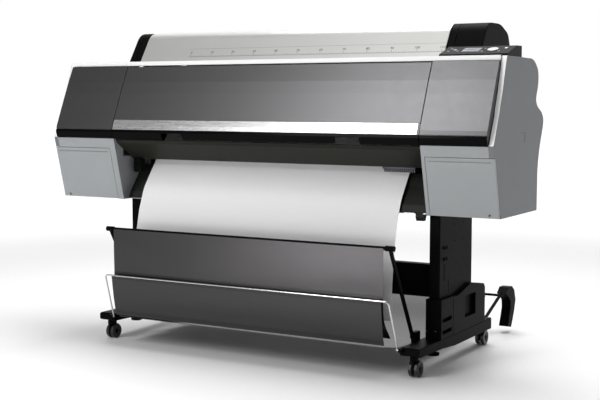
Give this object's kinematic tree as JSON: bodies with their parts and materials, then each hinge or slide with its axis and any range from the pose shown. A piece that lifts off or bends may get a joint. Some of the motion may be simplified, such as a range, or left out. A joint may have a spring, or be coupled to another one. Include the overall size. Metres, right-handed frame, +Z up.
{
  "type": "wide-format inkjet printer",
  "caption": "Wide-format roll-fed inkjet printer on a wheeled stand, with tilting covers, a moving print carriage and a cloth paper basket.",
  "frame": {"origin": "on the floor, at the middle of the whole footprint", "axes": "+Z up, +X to the right seen from the front, the front faces -Y"},
  "size_m": [1.864, 1.0476, 1.218],
  "materials": {
    "side_cover_grey": "fine textured moulding",
    "bay_grey": "fine textured moulding",
    "front_dark": "metallic charcoal paint, satin",
    "deck_silver": "satin silver",
    "brushed_trim": "brushed along its length",
    "gloss_black": "gloss",
    "satin_black": "satin",
    "roll_cover_silver": "satin silver",
    "display_glass": "gloss",
    "key_light": "satin",
    "steel_sheet": "plated sheet",
    "stand_black": "fine powder coat",
    "guide_olive": "satin",
    "apron_grey": "satin",
    "rail_aluminium": "extruded",
    "belt_rubber": "ribbed",
    "roller_rubber": "ground",
    "circuit": "board",
    "paper": "uncoated paper",
    "cloth_grey": "satin woven",
    "bright_steel": "polished wire",
    "wheel_black": "moulded tread",
    "cartridge_black": "moulded"
  },
  "bodies": {
    "base": {"side_covers": "side_cover_grey", "end_panels": "front_dark", "end_bands": "gloss_black", "top_deck": "deck_silver", "roll_end_housings": "satin_black", "control_panel": "gloss_black", "display": "display_glass", "rear_cover": "side_cover_grey", "base_pan": "steel_sheet", "paper_ceiling": "guide_olive", "lower_apron": "apron_grey", "ink_bays": "bay_grey", "ink_cartridges": "cartridge_black", "inner_frame": "steel_sheet", "platen": "satin_black", "guide_rail": "rail_aluminium", "drive_belt": "belt_rubber", "carriage_motor": "steel_sheet", "capping_station": "satin_black", "power_board": "circuit", "paper_sheet": "paper", "stand_legs": "stand_black", "stand_feet": "stand_black", "cross_beam": "stand_black", "manual_holder": "satin_black", "stand_bolts": "stand_black"},
    "front_cover": {"front_cover": "front_dark", "front_trim": "brushed_trim", "front_lip": "gloss_black"},
    "roll_cover": {"roll_cover": "roll_cover_silver", "roll_cover_caps": "satin_black"},
    "ink_door_left": {"ink_door_left": "bay_grey"},
    "ink_door_right": {"ink_door_right": "bay_grey"},
    "carriage": {"carriage": "satin_black", "print_head": "steel_sheet"},
    "drive_pulley": {"drive_pulley": "rail_aluminium"},
    "idler_pulley": {"idler_pulley": "rail_aluminium"},
    "feed_roller": {"feed_roller": "roller_rubber"},
    "pinch_rollers": {"pinch_rollers": "roller_rubber"},
    "media": {"media_roll": "paper", "media_flanges": "satin_black"},
    "nav_pad": {"nav_pad": "key_light"},
    "menu_button": {"menu_button": "key_light"},
    "power_button": {"power_button": "key_light"},
    "levelling_foot_left": {"levelling_foot_left": "stand_black"},
    "levelling_foot_right": {"levelling_foot_right": "stand_black"},
    "basket": {"basket_frame": "stand_black", "upper_cloth": "cloth_grey"},
    "hoop": {"basket_hoop": "bright_steel", "lower_cloth": "cloth_grey"},
    "rear_arms": {"rear_arms": "stand_black", "rear_cloth": "cloth_grey"},
    "caster_front_left": {"caster_fork_front_left": "stand_black"},
    "wheels_front_left": {"caster_wheels_front_left": "wheel_black"},
    "caster_front_right": {"caster_fork_front_right": "stand_black"},
    "wheels_front_right": {"caster_wheels_front_right": "wheel_black"},
    "caster_rear_left": {"caster_fork_rear_left": "stand_black"},
    "wheels_rear_left": {"caster_wheels_rear_left": "wheel_black"},
    "caster_rear_right": {"caster_fork_rear_right": "stand_black"},
    "wheels_rear_right": {"caster_wheels_rear_right": "wheel_black"}
  },
  "joints": [
    {"name": "front_cover_tilt", "type": "hinge", "parent": "base", "child": "front_cover", "pos_m": [0, -0.323, 1.067], "axis": [-1, 0, 0], "range_deg": [0, 55]},
    {"name": "roll_cover_tilt", "type": "hinge", "parent": "base", "child": "roll_cover", "pos_m": [0, 0.199, 1.106], "axis": [-1, 0, 0], "range_deg": [0, 75]},
    {"name": "ink_door_left_open", "type": "hinge", "parent": "base", "child": "ink_door_left", "pos_m": [-0.78, -0.36337, 0.556], "axis": [1, 0, 0], "range_deg": [0, 85]},
    {"name": "ink_door_right_open", "type": "hinge", "parent": "base", "child": "ink_door_right", "pos_m": [0.8, -0.36337, 0.556], "axis": [1, 0, 0], "range_deg": [0, 85]},
    {"name": "carriage_travel", "type": "slide", "parent": "base", "child": "carriage", "axis": [1, 0, 0], "range_m": [-1.46, 0]},
    {"name": "drive_pulley_spin", "type": "hinge", "parent": "base", "child": "drive_pulley", "pos_m": [0.872, -0.193, 0.957], "axis": [0, 1, 0], "continuous": true},
    {"name": "idler_pulley_spin", "type": "hinge", "parent": "base", "child": "idler_pulley", "pos_m": [-0.872, -0.193, 0.957], "axis": [0, 1, 0], "continuous": true},
    {"name": "media_spin", "type": "hinge", "parent": "base", "child": "media", "pos_m": [0, 0.076, 1.122], "axis": [1, 0, 0], "continuous": true},
    {"name": "feed_roller_spin", "type": "hinge", "parent": "base", "child": "feed_roller", "pos_m": [0, -0.13139, 0.83248], "axis": [1, 0, 0], "continuous": true},
    {"name": "pinch_roller_spin", "type": "hinge", "parent": "base", "child": "pinch_rollers", "pos_m": [0, -0.15102, 0.8473], "axis": [1, 0, 0], "continuous": true},
    {"name": "nav_pad_press", "type": "slide", "parent": "base", "child": "nav_pad", "axis": [0, 0.3067, -0.9518], "range_m": [0, 0.0012], "stiffness_N_per_m": 500},
    {"name": "menu_button_press", "type": "slide", "parent": "base", "child": "menu_button", "axis": [0, 0.3067, -0.9518], "range_m": [0, 0.0012], "stiffness_N_per_m": 400},
    {"name": "power_button_press", "type": "slide", "parent": "base", "child": "power_button", "axis": [0, 0.3067, -0.9518], "range_m": [0, 0.0012], "stiffness_N_per_m": 400},
    {"name": "levelling_foot_left_screw", "type": "slide", "parent": "base", "child": "levelling_foot_left", "axis": [0, 0, -1], "range_m": [0, 0.045]},
    {"name": "levelling_foot_right_screw", "type": "slide", "parent": "base", "child": "levelling_foot_right", "axis": [0, 0, -1], "range_m": [0, 0.045]},
    {"name": "basket_tilt", "type": "hinge", "parent": "base", "child": "basket", "pos_m": [0, -0.309, 0.118], "axis": [1, 0, 0], "range_deg": [-14, 0]},
    {"name": "hoop_tilt", "type": "hinge", "parent": "base", "child": "hoop", "pos_m": [0, -0.463, 0.097], "axis": [1, 0, 0], "range_deg": [0, 35]},
    {"name": "rear_arms_lift", "type": "hinge", "parent": "base", "child": "rear_arms", "pos_m": [0, 0.233, 0.092], "axis": [1, 0, 0], "range_deg": [0, 60], "deforming": ["rear_cloth"]},
    {"name": "caster_front_left_swivel", "type": "hinge", "parent": "base", "child": "caster_front_left", "pos_m": [-0.656, -0.425, 0.06], "axis": [0, 0, 1], "continuous": true},
    {"name": "wheels_front_left_roll", "type": "hinge", "parent": "caster_front_left", "child": "wheels_front_left", "pos_m": [-0.656, -0.41, 0.028], "axis": [1, 0, 0], "continuous": true},
    {"name": "caster_front_right_swivel", "type": "hinge", "parent": "base", "child": "caster_front_right", "pos_m": [0.656, -0.425, 0.06], "axis": [0, 0, 1], "continuous": true},
    {"name": "wheels_front_right_roll", "type": "hinge", "parent": "caster_front_right", "child": "wheels_front_right", "pos_m": [0.656, -0.41, 0.028], "axis": [1, 0, 0], "continuous": true},
    {"name": "caster_rear_left_swivel", "type": "hinge", "parent": "base", "child": "caster_rear_left", "pos_m": [-0.656, 0.188, 0.06], "axis": [0, 0, 1], "continuous": true},
    {"name": "wheels_rear_left_roll", "type": "hinge", "parent": "caster_rear_left", "child": "wheels_rear_left", "pos_m": [-0.656, 0.203, 0.028], "axis": [1, 0, 0], "continuous": true},
    {"name": "caster_rear_right_swivel", "type": "hinge", "parent": "base", "child": "caster_rear_right", "pos_m": [0.656, 0.188, 0.06], "axis": [0, 0, 1], "continuous": true},
    {"name": "wheels_rear_right_roll", "type": "hinge", "parent": "caster_rear_right", "child": "wheels_rear_right", "pos_m": [0.656, 0.203, 0.028], "axis": [1, 0, 0], "continuous": true}
  ],
  "couplings": [
    {"joint": "drive_pulley_spin", "follows": "carriage_travel", "rad_per_m": -90.909},
    {"joint": "idler_pulley_spin", "follows": "carriage_travel", "rad_per_m": -90.909},
    {"joint": "feed_roller_spin", "follows": "media_spin", "ratio": 3.6667},
    {"joint": "pinch_roller_spin", "follows": "media_spin", "ratio": -6.875}
  ]
}
